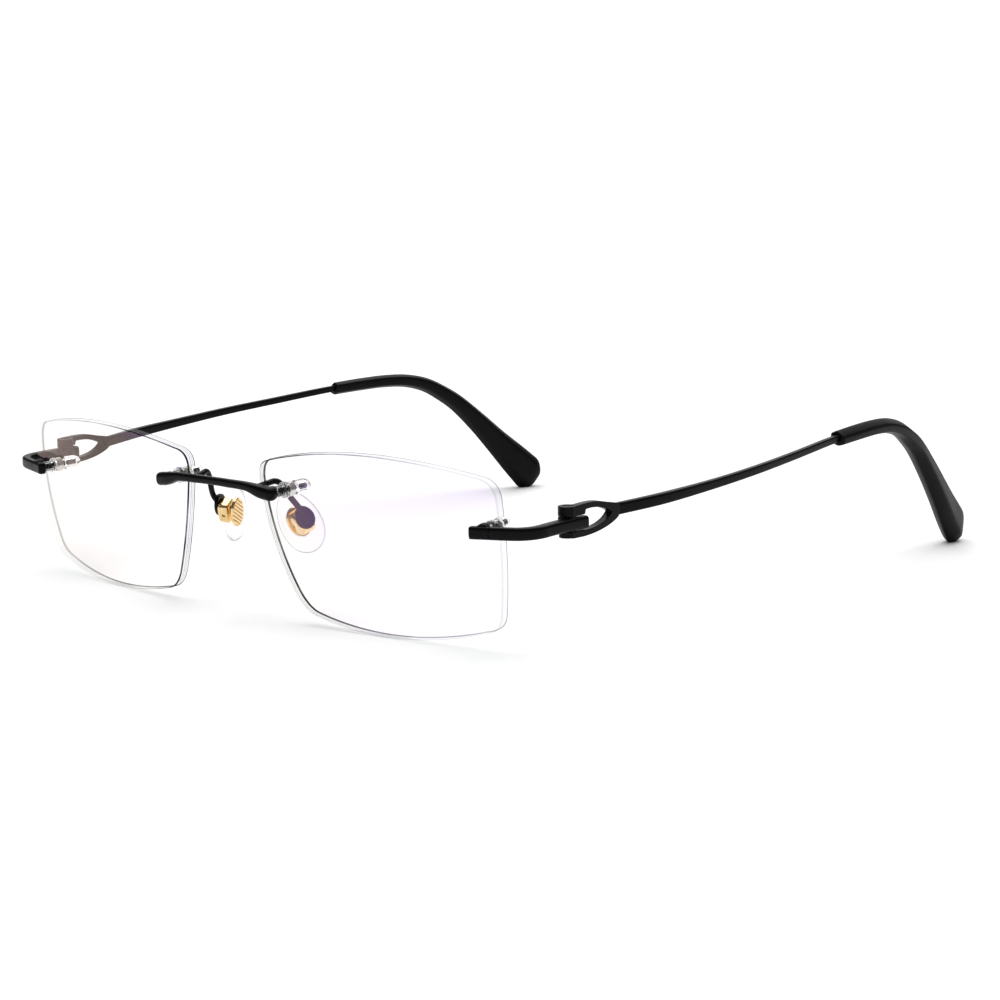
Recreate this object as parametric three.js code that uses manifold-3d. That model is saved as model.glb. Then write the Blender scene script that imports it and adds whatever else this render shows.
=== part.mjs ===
// Rimless eyeglasses: two drilled lenses, a bridge, two endpieces with their hinges, sprung-wire temples
// with moulded tips, and adjustable nose pads. Millimetres, +Z up, the wearer looks along -Y.
// "left" is the wearer's left, on the +X side; every left piece has a mirrored right one.
// The glasses stand open on the lower edges of the lenses and on the temple tips.

import * as THREE from 'three';
import { mergeVertices } from 'three/addons/utils/BufferGeometryUtils.js';
import Module from 'manifold-3d';

const wasm = await Module();
wasm.setup();

// Driving dimensions: lenses
const lensCentreX = 36.84;
const lensCentreHeight = 16.175;
const lensThickness = 1.7;
const lensCurveRadius = 128;
const wrapAngle = THREE.MathUtils.degToRad(5.5);
const forwardTilt = THREE.MathUtils.degToRad(7.9);
const nasalHole = { across: -22.4, up: 7.6 };
const templeHole = { across: 24.8, up: 4.6 };

// Driving dimensions: the stack of small parts that clamps a lens
const gap = 0.04;
const studRadius = 0.55;
const sleeveRadius = 0.95;
const washerRadius = 1.5;
const seatGap = 0.1;
const flangeThickness = 0.4;
const washerThickness = 0.35;
const nutAcrossFlats = 2.5;
const nutThickness = 1.3;
const capRadius = 1.3;
const capLength = 3.3;
const capStandOff = 0.55;

// Driving dimensions: endpieces and hinges
const plateStartX = 59.3;
const plateStartY = 2.55;
const plateAngle = THREE.MathUtils.degToRad(16.5);
const plateHalfThickness = 0.8;
const sideCentreX = 70.15;
const cornerRadius = 3.8;
const barHalfThickness = 1.12;
const barHalfHeight = 1.1;
const barEndY = 19.2;
const hingeX = 69.3;
const hingeY = 15.8;
const knuckleRadius = 1.65;
const knuckleBottom = 20.85;
const knuckleTop = 23.05;
const barrelBottom = 23.2;
const barrelTop = 24.95;
const forkInnerX = 69.4;
const forkThickness = 1.6;
const screwRadius = 0.5;
const screwHeadRadius = 0.9;
const screwHeadHeight = 0.4;
const screwBottom = 19.9;
const forkKnuckleRadius = 1.5;
const forkKnuckleBottom = 19.55;
const forkKnuckleTop = 20.66;
const runningGap = 0.06;

// Driving dimensions: nose pads
const padCentre = new THREE.Vector3(10.5, 8.9, 16.9);
const padAlong = new THREE.Vector3(3.2, 4.4, -10.6).normalize();
const padFacing = new THREE.Vector3(-0.93, 0.37, 0);
const padHalfLength = 6.2;
const padHalfWidth = 4;
const padBack = 0.75;
const padThickness = 2.45;
const insertHalfLength = 2.95;
const insertHalfWidth = 2.15;
const insertBack = 1.7;
const insertThickness = 0.7;
const boxHalfLength = 2.1;
const boxHalfWidth = 1.75;
const boxFront = 0.85;
const boxBack = -1.15;
const cupHalfLength = 2.25;
const cupHalfWidth = 1.8;
const cupOffset = { across: -0.45, up: 0.8 };
const cupThickness = 0.9;
const armRadius = 0.55;
const padScrewRadius = 0.3;
const padScrewHeadRadius = 0.5;
const padScrewHeadStart = 1.8;
const padScrewHeadEnd = 2.5;
const padScrewTail = -1.5;

const glasses = new THREE.Group();
const mirror = new THREE.Matrix4().makeScale(-1, 1, 1);

// Welds a geometry into one closed indexed body whose faces point outwards.
function weld(source) {
  const bare = source.clone();
  bare.deleteAttribute('normal');
  bare.deleteAttribute('uv');
  const merged = mergeVertices(bare, 1e-4);
  const position = merged.attributes.position;
  const corners = [0, 1, 2].map(() => new THREE.Vector3());
  const kept = [];
  let volume = 0;
  for (let i = 0; i < merged.index.count; i += 3) {
    const triangle = [0, 1, 2].map((k) => merged.index.getX(i + k));
    if (new Set(triangle).size < 3) continue;
    triangle.forEach((vertex, k) => corners[k].fromBufferAttribute(position, vertex));
    volume += corners[0].dot(corners[1].cross(corners[2])) / 6;
    kept.push(triangle);
  }
  const outward = volume < 0 ? kept.map(([a, b, c]) => [a, c, b]) : kept;
  merged.setIndex(outward.flat());
  return merged;
}

function toSolid(geometry) {
  const welded = weld(geometry);
  const vertProperties = new Float32Array(welded.attributes.position.array);
  const triVerts = new Uint32Array(welded.index.array);
  return new wasm.Manifold(new wasm.Mesh({ numProp: 3, vertProperties, triVerts }));
}

function toGeometry(solid) {
  const mesh = solid.getMesh();
  const geometry = new THREE.BufferGeometry();
  geometry.setAttribute('position', new THREE.BufferAttribute(mesh.vertProperties, 3));
  geometry.setIndex(new THREE.BufferAttribute(mesh.triVerts, 1));
  return geometry;
}

function joined(...geometries) {
  const solids = geometries.map(toSolid);
  return toGeometry(solids.slice(1).reduce((whole, piece) => whole.add(piece), solids[0]));
}

function cutFrom(geometry, ...tools) {
  return toGeometry(tools.reduce((whole, tool) => whole.subtract(toSolid(tool)), toSolid(geometry)));
}

// A plastic or metal finish; each piece has its own.
function finish(color, roughness, metalness, opacity = 1) {
  return () => new THREE.MeshStandardMaterial({
    color, roughness, metalness, opacity, transparent: opacity < 1,
  });
}

const blackMetal = finish(0x1b1b1c, 0.38, 0.7);
const steel = finish(0xc9c7c0, 0.3, 0.9);
const gold = finish(0xd8a94e, 0.3, 0.9);
const clearLens = finish(0xf4f8f6, 0.03, 0, 0.25);
const clearPlastic = finish(0xe9eaea, 0.12, 0, 0.5);
const clearSilicone = finish(0xf1efe9, 0.25, 0, 0.5);
const blackPlastic = finish(0x161616, 0.3, 0);

function addMesh(name, geometry, material, placement) {
  const mesh = new THREE.Mesh(geometry, material());
  mesh.name = name;
  mesh.applyMatrix4(placement);
  glasses.add(mesh);
}

// Adds the wearer's left piece and its mirrored right twin.
function addPair(name, geometry, material, placement = new THREE.Matrix4()) {
  addMesh(`${name}_left`, weld(geometry), material, placement);
  const twin = weld(geometry.clone().applyMatrix4(mirror));
  const twinPlacement = mirror.clone().multiply(placement).multiply(mirror);
  addMesh(`${name}_right`, twin, material, twinPlacement);
}

// A solid of revolution about +Y from a closed profile of [radius, height] points.
function turned(profile, segments = 14) {
  const points = profile.map(([radius, height]) => new THREE.Vector2(radius, height));
  return new THREE.LatheGeometry(points, segments);
}

function tubeProfile(inner, outer, bottom, top) {
  return [[inner, bottom], [outer, bottom], [outer, top], [inner, top], [inner, bottom]];
}

function upright(radius, bottom, top, segments = 20) {
  const cylinder = new THREE.CylinderGeometry(radius, radius, top - bottom, segments);
  return cylinder.rotateX(Math.PI / 2).translate(0, 0, (top + bottom) / 2);
}

// A rounded cross-section: exponent 2 is an ellipse, and 4 is nearly a rectangle with rounded corners.
function sectionPoint(angle, halfWidth, halfHeight, exponent) {
  const squash = (value) => Math.sign(value) * Math.abs(value) ** (2 / exponent);
  return [halfWidth * squash(Math.cos(angle)), halfHeight * squash(Math.sin(angle))];
}

// Skins a list of rings, each a list of points in the same order, with a fan over each end.
function skin(rings) {
  const sides = rings[0].length;
  const vertices = rings.flat();
  const faces = [];
  for (let r = 0; r + 1 < rings.length; r += 1) {
    for (let s = 0; s < sides; s += 1) {
      const next = (s + 1) % sides;
      const [a, b] = [r * sides + s, r * sides + next];
      const [c, d] = [a + sides, b + sides];
      faces.push(a, b, d, a, d, c);
    }
  }
  const lastRing = (rings.length - 1) * sides;
  for (const [first, ring, flip] of [[0, rings[0], true], [lastRing, rings.at(-1), false]]) {
    const centre = vertices.length;
    vertices.push(ring.reduce((sum, p) => sum.add(p), new THREE.Vector3()).divideScalar(sides));
    for (let s = 0; s < sides; s += 1) {
      const [a, b] = [first + s, first + ((s + 1) % sides)];
      faces.push(centre, flip ? b : a, flip ? a : b);
    }
  }
  const geometry = new THREE.BufferGeometry().setFromPoints(vertices);
  geometry.setIndex(faces);
  return geometry;
}

// Lofts a bar along a path. Each station is [x, y, z, half width, half height], width being level.
// A domed end is rounded off beyond its last station, by a dome of the given length.
// A bluntness of 1 is round, and more is squarer.
function loft(stations, options) {
  const { rings, sides = 12, exponent = 3 } = options;
  const { startDome = 0, endDome = 0, domeRings = 4, bluntness = 1 } = options;
  const path = new THREE.CatmullRomCurve3(stations.map(([x, y, z]) => new THREE.Vector3(x, y, z)));
  const sizes = new THREE.CatmullRomCurve3(stations.map(([, , , w, h]) => new THREE.Vector3(w, h, 0)));
  const up = new THREE.Vector3(0, 0, 1);
  const ringAt = (t, forward, scale) => {
    const tangent = path.getTangent(t);
    const level = new THREE.Vector3().crossVectors(tangent, up).normalize();
    const rise = new THREE.Vector3().crossVectors(level, tangent);
    const centre = path.getPoint(t).addScaledVector(tangent, forward);
    const size = sizes.getPoint(t);
    return Array.from({ length: sides }, (_, s) => {
      const angle = (2 * Math.PI * (s + 0.5)) / sides;
      const [w, h] = sectionPoint(angle, size.x * scale, size.y * scale, exponent);
      return centre.clone().addScaledVector(level, w).addScaledVector(rise, h);
    });
  };
  const body = Array.from({ length: rings + 1 }, (_, i) => ringAt(i / rings, 0, 1));
  const dome = (t, length, sign) => Array.from({ length: length > 0 ? domeRings : 0 }, (_, i) => {
    const angle = ((i + 1) / (domeRings + 0.4)) * (Math.PI / 2);
    return ringAt(t, sign * length * Math.sin(angle), Math.cos(angle) ** (1 / bluntness));
  });
  return skin([...dome(0, startDome, -1).reverse(), ...body, ...dome(1, endDome, 1)]);
}

// The lens outline, seen from the front, temple side towards +X: four bowed edges and four round corners.
function lensOutline() {
  const outline = new THREE.Shape();
  outline.moveTo(-24, 13.2);
  outline.quadraticCurveTo(-1, 19.3, 24, 13.7);
  outline.quadraticCurveTo(27, 13, 27.2, 9.5);
  outline.quadraticCurveTo(28, -1, 25.9, -10.6);
  outline.quadraticCurveTo(25.4, -13.4, 21.8, -13.9);
  outline.quadraticCurveTo(3, -18.6, -16.2, -14.8);
  outline.quadraticCurveTo(-19.3, -14.2, -21.2, -10.2);
  outline.quadraticCurveTo(-25.7, -1.2, -27, 8.6);
  outline.quadraticCurveTo(-27.5, 12.6, -24, 13.2);
  return outline.getPoints(6).slice(0, -1);
}

function sag(u, v) {
  return lensCurveRadius - Math.sqrt(lensCurveRadius ** 2 - u ** 2 - v ** 2);
}

// The lens frame: +X across towards the temple, +Y up the lens, +Z out of its front.
function lensPlacement() {
  const across = new THREE.Vector3(Math.cos(wrapAngle), Math.sin(wrapAngle), 0);
  const front = new THREE.Vector3(
    Math.sin(wrapAngle) * Math.cos(forwardTilt),
    -Math.cos(wrapAngle) * Math.cos(forwardTilt),
    -Math.sin(forwardTilt),
  );
  const up = new THREE.Vector3().crossVectors(front, across);
  const placement = new THREE.Matrix4().makeBasis(across, up, front);
  return placement.setPosition(lensCentreX, 0, lensCentreHeight);
}

// The frame of a drilled hole: origin on the lens front, +Y straight back through the lens.
function holePlacement({ across, up }) {
  const depth = sag(across, up);
  const back = new THREE.Vector3(-across, -up, depth - lensCurveRadius).normalize();
  const sideways = new THREE.Vector3().crossVectors(back, new THREE.Vector3(0, 1, 0)).normalize();
  const third = new THREE.Vector3().crossVectors(sideways, back);
  return new THREE.Matrix4().makeBasis(sideways, back, third).setPosition(across, up, -depth);
}

function worldHole(hole) {
  return lensPlacement().multiply(holePlacement(hole));
}

function lensBody() {
  const outline = lensOutline();
  const scales = [1, 0.9, 0.78, 0.6, 0.3];
  const surface = (depth) => scales.map((scale) => outline.map(({ x, y }) => {
    const [u, v] = [x * scale, y * scale];
    return new THREE.Vector3(u, v, -sag(u, v) - depth);
  }));
  const blank = skin([...surface(0).reverse(), ...surface(lensThickness)]);
  const reach = lensThickness + 2;
  const bore = sleeveRadius + gap;
  const drill = turned([[0, -reach], [bore, -reach], [bore, reach], [0, reach]]);
  const drills = [nasalHole, templeHole].map((hole) => drill.clone().applyMatrix4(holePlacement(hole)));
  return cutFrom(blank, ...drills);
}

function bushing() {
  const bore = studRadius + gap;
  const back = lensThickness + seatGap;
  return turned([
    [bore, gap], [sleeveRadius, gap], [sleeveRadius, back], [washerRadius, back],
    [washerRadius, back + flangeThickness], [bore, back + flangeThickness], [bore, gap],
  ]);
}

function lockNut() {
  const hexagon = new THREE.Shape(Array.from({ length: 6 }, (_, i) => {
    const angle = (i * Math.PI) / 3;
    const corner = nutAcrossFlats / Math.sqrt(3);
    return new THREE.Vector2(corner * Math.cos(angle), corner * Math.sin(angle));
  }));
  hexagon.holes.push(new THREE.Path().absarc(0, 0, studRadius + gap, 0, 2 * Math.PI, true));
  const nut = new THREE.ExtrudeGeometry(hexagon, {
    depth: nutThickness, bevelEnabled: false, curveSegments: 12,
  });
  return nut.rotateX(-Math.PI / 2);
}

// A bullet-shaped cap pressed over the end of the stud.
function endCap() {
  const noseStart = capLength - 1.7;
  const cavity = studRadius + gap;
  const tipRadius = 0.35;
  const nose = [0.25, 0.5, 0.75].map((part) => {
    const angle = part * (Math.PI / 2);
    const radius = tipRadius + (capRadius - tipRadius) * Math.cos(angle);
    return [radius, noseStart + (capLength - noseStart) * Math.sin(angle)];
  });
  return turned([
    [cavity, 0], [capRadius, 0], [capRadius, noseStart], ...nose, [0, capLength],
    [0, capLength - 0.9], [cavity, capLength - 0.9], [cavity, 0],
  ]);
}

// One clamp through a lens: stud, flanged bushing, washer, lock nut and end cap.
function addClamp(place, hole) {
  const frame = worldHole(hole);
  const washerStart = lensThickness + seatGap + flangeThickness + gap;
  const nutStart = washerStart + washerThickness + gap;
  const capStart = nutStart + nutThickness + capStandOff;
  const studEnd = capStart + capLength - 1;
  const along = (distance) => frame.clone().multiply(new THREE.Matrix4().makeTranslation(0, distance, 0));
  const washer = turned(tubeProfile(studRadius + gap, washerRadius, 0, washerThickness));
  const stud = turned([[0, gap], [studRadius, gap], [studRadius, studEnd], [0, studEnd]], 12);
  addPair(`${place}_stud`, stud, blackMetal, frame);
  addPair(`${place}_bushing`, bushing(), clearPlastic, frame);
  addPair(`${place}_washer`, washer, clearPlastic, along(washerStart));
  addPair(`${place}_nut`, lockNut(), steel, along(nutStart));
  addPair(`${place}_cap`, endCap(), clearPlastic, along(capStart));
}

// The round boss that carries a stud and sits on the front of the lens.
function boss(hole, radius, length) {
  const face = -seatGap;
  return turned([[0, -length], [radius, -length], [radius, face], [0, face]]).applyMatrix4(worldHole(hole));
}

// Club-ended bar that bows gently forwards and upwards between the lenses.
function bridge() {
  const half = [
    [15.1, -2.55, 23.9, 1.25, 1.26],
    [12.9, -2.9, 24.2, 1.12, 1.2],
    [9.6, -3.25, 24.85, 0.86, 0.84],
    [4.5, -3.45, 25.0, 0.8, 0.78],
  ];
  const middle = [0, -3.5, 25.05, 0.78, 0.75];
  const other = half.map(([x, ...rest]) => [-x, ...rest]).reverse();
  const bar = loft([...half, middle, ...other], {
    rings: 22, exponent: 2.8, startDome: 1.1, endDome: 1.1,
  });
  const leftBoss = boss(nasalHole, 1.2, 1.8);
  const rightBoss = leftBoss.clone().applyMatrix4(mirror);
  return joined(bar, leftBoss, rightBoss);
}

function hingeDrill(radius, bottom, top) {
  return upright(radius, bottom, top, 16).translate(hingeX, hingeY, 0);
}

// Square bar from the lens front round the corner to the hinge, with the hinge's middle knuckle.
function endpiece() {
  const meetY = plateStartY + (sideCentreX - plateStartX) * Math.tan(plateAngle);
  const turnX = sideCentreX - cornerRadius;
  const turnY = meetY + cornerRadius * Math.tan((Math.PI / 2 - plateAngle) / 2);
  const corner = [0.05, 0.35, 0.65, 0.95].map((share) => {
    const angle = plateAngle + share * (Math.PI / 2 - plateAngle);
    const x = turnX + cornerRadius * Math.sin(angle);
    const y = turnY - cornerRadius * Math.cos(angle);
    const halfThickness = THREE.MathUtils.lerp(plateHalfThickness, barHalfThickness, share);
    return [x, y, 21.35 + 0.3 * share, halfThickness, barHalfHeight];
  });
  const onPlate = (distance, height) => {
    const x = plateStartX + distance * Math.cos(plateAngle);
    const y = plateStartY + distance * Math.sin(plateAngle);
    return [x, y, height, plateHalfThickness, barHalfHeight];
  };
  const bar = loft([
    onPlate(0.15, 21.1),
    onPlate(3.8, 21.2),
    ...corner,
    [sideCentreX, turnY + 1.4, 21.72, barHalfThickness, barHalfHeight],
    [sideCentreX, hingeY - 3, 21.85, barHalfThickness, barHalfHeight],
    [sideCentreX, hingeY + 1, 21.93, barHalfThickness, barHalfHeight],
    [sideCentreX, barEndY - 0.15, 21.95, barHalfThickness, barHalfHeight],
  ], { rings: 20, exponent: 4.5, startDome: 0.15, endDome: 0.15, domeRings: 1 });
  const knuckle = upright(knuckleRadius, knuckleBottom, knuckleTop).translate(hingeX, hingeY, 0);
  const lug = boss({ across: templeHole.across, up: templeHole.up + 0.5 }, 1.3, 1.3);
  const whole = joined(bar, knuckle, lug);
  return cutFrom(whole, hingeDrill(screwRadius + runningGap, screwBottom, barrelTop));
}

// Side view of the fork, in Y and Z: two arms that meet in a teardrop, open towards the front.
function forkOutline() {
  const outline = new THREE.Shape();
  outline.moveTo(15.2, barrelTop);
  outline.bezierCurveTo(17.5, 25.1, 20.2, 25.5, 22.8, 25.0);
  outline.quadraticCurveTo(25.2, 24.45, 27.0, 24.1);
  outline.lineTo(27.0, 21.9);
  outline.bezierCurveTo(25.0, 20.5, 21.2, 19.65, 17.5, forkKnuckleBottom);
  outline.lineTo(15.2, forkKnuckleBottom);
  outline.lineTo(15.2, forkKnuckleTop);
  outline.lineTo(18.4, 20.68);
  outline.bezierCurveTo(21.4, 20.75, 24.0, 21.35, 25.3, 22.95);
  outline.bezierCurveTo(23.9, 23.7, 21.6, 24.5, 18.6, 24.15);
  outline.lineTo(18.4, 23.35);
  outline.lineTo(15.2, 23.35);
  return outline;
}

function fork() {
  const plate = new THREE.ExtrudeGeometry(forkOutline(), {
    depth: forkThickness, curveSegments: 6, bevelEnabled: false,
  });
  const turn = new THREE.Matrix4().makeBasis(
    new THREE.Vector3(0, 1, 0), new THREE.Vector3(0, 0, 1), new THREE.Vector3(1, 0, 0),
  );
  plate.applyMatrix4(turn.setPosition(forkInnerX, 0, 0));
  const barrel = upright(knuckleRadius, barrelBottom, barrelTop).translate(hingeX, hingeY, 0);
  const lowerKnuckle = upright(forkKnuckleRadius, forkKnuckleBottom, forkKnuckleTop);
  lowerKnuckle.translate(hingeX, hingeY, 0);
  const above = barrelTop + 1;
  const headSeat = hingeDrill(screwHeadRadius + runningGap, barrelTop - screwHeadHeight - 0.05, above);
  const shankHole = hingeDrill(screwRadius + runningGap, screwBottom - 0.05, above);
  return cutFrom(joined(plate, barrel, lowerKnuckle), headSeat, shankHole);
}

function hingeScrew() {
  const headBottom = barrelTop - screwHeadHeight;
  const screw = turned([
    [0, screwBottom], [screwRadius, screwBottom], [screwRadius, headBottom],
    [screwHeadRadius, headBottom], [screwHeadRadius, barrelTop - 0.03], [0, barrelTop - 0.03],
  ], 16).rotateX(Math.PI / 2);
  const slot = new THREE.BoxGeometry(3, 0.28, 0.4).translate(0, 0, barrelTop);
  return cutFrom(screw, slot).translate(hingeX, hingeY, 0);
}

// Centre-line of a temple from the back of the fork to the end of the tip.
const wireStations = [
  [70.2, 27.22, 23.05, 0.6, 1.05],
  [72.1, 37, 23.8, 0.8, 1.0],
  [72.95, 50, 24.8, 0.7, 0.86],
  [72.9, 62, 25.8, 0.66, 0.78],
  [71.8, 75, 26.85, 0.64, 0.72],
  [70.1, 90, 28.1, 0.62, 0.68],
];
const wireCore = [
  [69.2, 98, 28.5, 0.6, 0.62],
  [68.2, 106, 28.7, 0.55, 0.55],
];
const tipStations = [
  [69.9, 91.9, 28.19, 1.5, 1.42],
  [69.2, 98, 28.5, 1.6, 1.45],
  [68.2, 106, 28.7, 1.65, 1.45],
  [67.3, 112, 28.3, 1.7, 1.5],
  [66.4, 117.5, 26.9, 1.75, 1.65],
  [65.6, 122, 24.6, 1.8, 1.85],
  [64.8, 126, 22.0, 1.85, 2.05],
  [63.6, 132, 16.8, 1.9, 2.5],
  [62.5, 137.5, 11.5, 1.95, 3.1],
  [61.4, 142.4, 6.8, 2.0, 3.85],
  [60.75, 145.7, 3.7, 2.0, 4.25],
];

function templeWire() {
  return loft([...wireStations, ...wireCore], { rings: 26, sides: 8, exponent: 4 });
}

// Moulded tip with a blind socket for the wire and a small flat where it stands.
function templeTip() {
  const skinOfTip = loft(tipStations, {
    rings: 20, sides: 12, exponent: 2.5, startDome: 0.3, endDome: 3.4, domeRings: 4, bluntness: 1.6,
  });
  const clearance = 0.1;
  const bore = [...wireStations.slice(-2), ...wireCore].map(([x, y, z, w, h]) => {
    return [x, y, z, w + clearance, h + clearance];
  });
  const socket = loft(bore, { rings: 10, sides: 8, exponent: 4, startDome: 0, endDome: 0.6, domeRings: 1 });
  const floor = new THREE.BoxGeometry(30, 40, 10).translate(60, 145, -5);
  return cutFrom(skinOfTip, socket, floor);
}

// The pad frame: +X across the pad, +Y up its length, +Z towards the nose.
function padPlacement() {
  const up = padAlong.clone().negate();
  const across = new THREE.Vector3().crossVectors(up, padFacing).normalize();
  const facing = new THREE.Vector3().crossVectors(across, up);
  return new THREE.Matrix4().makeBasis(across, up, facing).setPosition(padCentre);
}

// A rounded outline that is a little wider below its middle.
function dropOutline(halfWidth, halfLength, sides, fullness) {
  return Array.from({ length: sides }, (_, i) => {
    const angle = (2 * Math.PI * i) / sides;
    const width = halfWidth * (1 - fullness * Math.sin(angle));
    return new THREE.Vector2(width * Math.cos(angle), halfLength * Math.sin(angle));
  });
}

function layered(outline, layers) {
  return skin(layers.map(([height, scale]) => outline.map((p) => {
    return new THREE.Vector3(p.x * scale, p.y * scale, height);
  })));
}

function nosePad() {
  const outline = dropOutline(padHalfWidth, padHalfLength, 24, 0.12);
  const front = padBack + padThickness;
  const body = layered(outline, [
    [padBack, 0.88], [padBack + 0.2, 0.97], [padBack + 0.55, 1], [front - 1.1, 0.95],
    [front - 0.5, 0.8], [front - 0.15, 0.55], [front, 0.25],
  ]);
  const pocketOutline = dropOutline(insertHalfWidth + 0.12, insertHalfLength + 0.12, 20, 0);
  const pocket = layered(pocketOutline, [[padBack - 1, 1], [insertBack + insertThickness + 0.1, 1]]);
  return cutFrom(body, pocket);
}

// The hole for the pad screw, straight across the box and the lug inside it.
function padScrewHole() {
  const radius = padScrewRadius + runningGap;
  return new THREE.CylinderGeometry(radius, radius, 6, 12).rotateZ(Math.PI / 2);
}

// Metal core of the pad: an oval plate with a lug that the pad screw holds inside the box.
function padInsert() {
  const outline = dropOutline(insertHalfWidth, insertHalfLength, 20, 0);
  const plate = layered(outline, [[insertBack, 1], [insertBack + insertThickness, 1]]);
  const lugLength = insertBack + 0.7;
  const lug = new THREE.BoxGeometry(0.8, 1.3, lugLength).translate(0, 0, lugLength / 2 - 0.45);
  return cutFrom(joined(plate, lug), padScrewHole());
}

function padBox() {
  const outline = Array.from({ length: 20 }, (_, i) => {
    const angle = (2 * Math.PI * (i + 0.5)) / 20;
    return new THREE.Vector2(...sectionPoint(angle, boxHalfWidth, boxHalfLength, 4));
  });
  const block = layered(outline, [
    [boxBack, 0.9], [boxBack + 0.2, 1], [boxFront - 0.2, 1], [boxFront, 0.9],
  ]);
  const slot = new THREE.BoxGeometry(1.1, 2.4, 2).translate(0, 0, 0.1);
  return cutFrom(block, slot, padScrewHole());
}

function padScrew() {
  const profile = [
    [0, padScrewTail], [padScrewRadius, padScrewTail], [padScrewRadius, padScrewHeadStart],
    [padScrewHeadRadius, padScrewHeadStart], [padScrewHeadRadius, padScrewHeadEnd], [0, padScrewHeadEnd],
  ];
  const screw = turned(profile, 12).rotateZ(Math.PI / 2);
  const slot = new THREE.BoxGeometry(0.3, 0.2, 3).translate(-padScrewHeadEnd, 0, 0);
  return cutFrom(screw, slot);
}

// Bent wire arm from the bridge to the oval cup behind the pad box.
function padArm() {
  const cupFront = boxBack - gap;
  const wireEnd = new THREE.Vector3(cupOffset.across, 1.3, cupFront - 0.75).applyMatrix4(padPlacement());
  const bends = [
    [8.9, -2.2, 24.4], [8.95, -0.2, 24.4], [9.2, 1.8, 24.75], [9.75, 3.5, 25.0],
    [10.4, 4.7, 24.0], [11.1, 5.6, 22.0], [12.0, 6.9, 19.9],
  ].map(([x, y, z]) => new THREE.Vector3(x, y, z));
  const route = new THREE.CatmullRomCurve3([...bends, wireEnd]);
  const section = new THREE.Shape().absarc(0, 0, armRadius, 0, 2 * Math.PI, false);
  const wire = new THREE.ExtrudeGeometry(section, {
    steps: 20, extrudePath: route, bevelEnabled: false, curveSegments: 5,
  });
  const cupOutline = dropOutline(cupHalfWidth, cupHalfLength, 20, 0.08);
  const cup = layered(cupOutline, [
    [cupFront - cupThickness, 0.86], [cupFront - 0.65, 1], [cupFront, 1],
  ]).translate(cupOffset.across, cupOffset.up, 0).applyMatrix4(padPlacement());
  const bridgeSide = new THREE.BoxGeometry(6, 4, 6).translate(8.9, -4.25, 24.6);
  return cutFrom(joined(wire, cup), bridgeSide);
}

addPair('lens', lensBody(), clearLens, lensPlacement());
addMesh('bridge', weld(bridge()), blackMetal, new THREE.Matrix4());
addClamp('nasal', nasalHole);
addClamp('temporal', templeHole);
addPair('endpiece', endpiece(), blackMetal);
addPair('temple_fork', fork(), blackMetal);
addPair('hinge_screw', hingeScrew(), blackMetal);
addPair('temple_wire', templeWire(), blackMetal);
addPair('temple_tip', templeTip(), blackPlastic);
addPair('nose_pad', nosePad(), clearSilicone, padPlacement());
addPair('pad_insert', padInsert(), gold, padPlacement());
addPair('pad_box', padBox(), gold, padPlacement());
addPair('pad_screw', padScrew(), gold, padPlacement());
addPair('pad_arm', padArm(), blackMetal);

// The origin is under the middle of the glasses, on the surface they stand on.
const extent = new THREE.Box3().setFromObject(glasses, true);
glasses.position.set(0, -(extent.min.y + extent.max.y) / 2, -extent.min.z);
glasses.updateMatrixWorld(true);

export default glasses;
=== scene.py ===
"""Rimless eyeglasses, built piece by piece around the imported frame.

Shapes are worked out in millimetres in the glasses' own frame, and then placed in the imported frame,
which is in metres. +X is to the wearer's left, -Y forwards and +Z up, and Y = 0 is at the front of the
lens centres. Every left piece has a mirrored right twin.
"""

import math

import bmesh
import bpy
import numpy as np
from mathutils import Matrix, Vector


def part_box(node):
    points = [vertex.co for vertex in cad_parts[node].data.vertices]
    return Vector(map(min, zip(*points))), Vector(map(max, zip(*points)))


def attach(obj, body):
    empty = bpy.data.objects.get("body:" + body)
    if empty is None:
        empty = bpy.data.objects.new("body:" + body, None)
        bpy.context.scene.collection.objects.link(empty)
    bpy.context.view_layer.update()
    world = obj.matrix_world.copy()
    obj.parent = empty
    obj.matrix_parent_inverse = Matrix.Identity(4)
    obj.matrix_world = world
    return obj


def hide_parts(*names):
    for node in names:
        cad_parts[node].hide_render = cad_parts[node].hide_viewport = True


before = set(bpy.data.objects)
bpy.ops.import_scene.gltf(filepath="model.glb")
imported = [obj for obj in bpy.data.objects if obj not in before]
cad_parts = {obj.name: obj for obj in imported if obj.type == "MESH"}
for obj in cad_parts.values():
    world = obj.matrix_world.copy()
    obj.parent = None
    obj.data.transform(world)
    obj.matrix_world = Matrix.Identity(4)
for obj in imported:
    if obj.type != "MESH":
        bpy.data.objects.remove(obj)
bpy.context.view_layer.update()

# ---------------------------------------------------------------- driving dimensions, in millimetres

LENS_CENTRE = Vector((36.84, 0.0, 16.175))
LENS_THICKNESS = 1.7
LENS_BEVEL = 0.19
LENS_CURVE_RADIUS = 128.0
WRAP_ANGLE = math.radians(5.5)
FORWARD_TILT = math.radians(7.9)
NASAL_HOLE = (-22.4, 7.6)
TEMPLE_HOLE = (24.8, 4.6)
# How far behind the lens's front its two painted dark shade lines start and end, and the rear rim, painted
# dark as shade, starts.
SHADE_LINE_DEPTHS = ((0.6, 0.7), (1.0, 1.07))
REAR_RIM_START = 1.36

GAP = 0.04
SEAT_GAP = 0.1
STUD_RADIUS = 0.55
THREAD_PITCH = 0.35
SLEEVE_RADIUS = 0.95
WASHER_RADIUS = 1.5
FLANGE_THICKNESS = 0.4
WASHER_THICKNESS = 0.35
NUT_ACROSS_FLATS = 2.5
NUT_THICKNESS = 1.3
CAP_RADIUS = 1.3
CAP_LENGTH = 3.3
CAP_STAND_OFF = 0.55

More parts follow.
